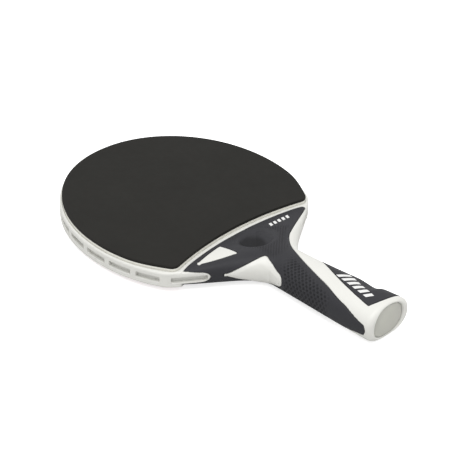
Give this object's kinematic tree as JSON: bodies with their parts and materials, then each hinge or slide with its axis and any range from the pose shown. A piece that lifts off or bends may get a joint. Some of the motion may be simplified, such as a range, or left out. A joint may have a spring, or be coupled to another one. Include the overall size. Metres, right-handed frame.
{
  "type": "table tennis paddle",
  "caption": "Table tennis paddle with a rubber-faced oval head, a slotted white rim moulding, a soft grip over neck and handle, and a clear oval lens in the butt.",
  "frame": {"origin": "centre of the bounding box, in the middle of the blade's thickness", "axes": "+Y along the handle to the tip of the head, +Z out of the front face, +X to the right seen from the front with the tip up"},
  "size_m": [0.1544, 0.26, 0.0248],
  "materials": {
    "composite": "pressed fibre laminate, matt grey edge",
    "white_moulding": "satin off-white moulding",
    "sponge": "fine cream foam rubber",
    "black_topsheet": "smooth matt black topsheet",
    "red_topsheet": "smooth matt red topsheet",
    "soft_grip": "dark grey soft-touch elastomer with fine ribs and dimples",
    "badge": "embossed silvery plate",
    "clear_lens": "clear polished plastic"
  },
  "bodies": {
    "root": {"core_plate": "composite", "frame": "white_moulding", "front_sponge": "sponge", "front_rubber": "black_topsheet", "rear_sponge": "sponge", "rear_rubber": "red_topsheet", "grip": "soft_grip", "side_panel": "soft_grip", "butt_badge": "badge", "butt_lens": "clear_lens"}
  },
  "joints": []
}
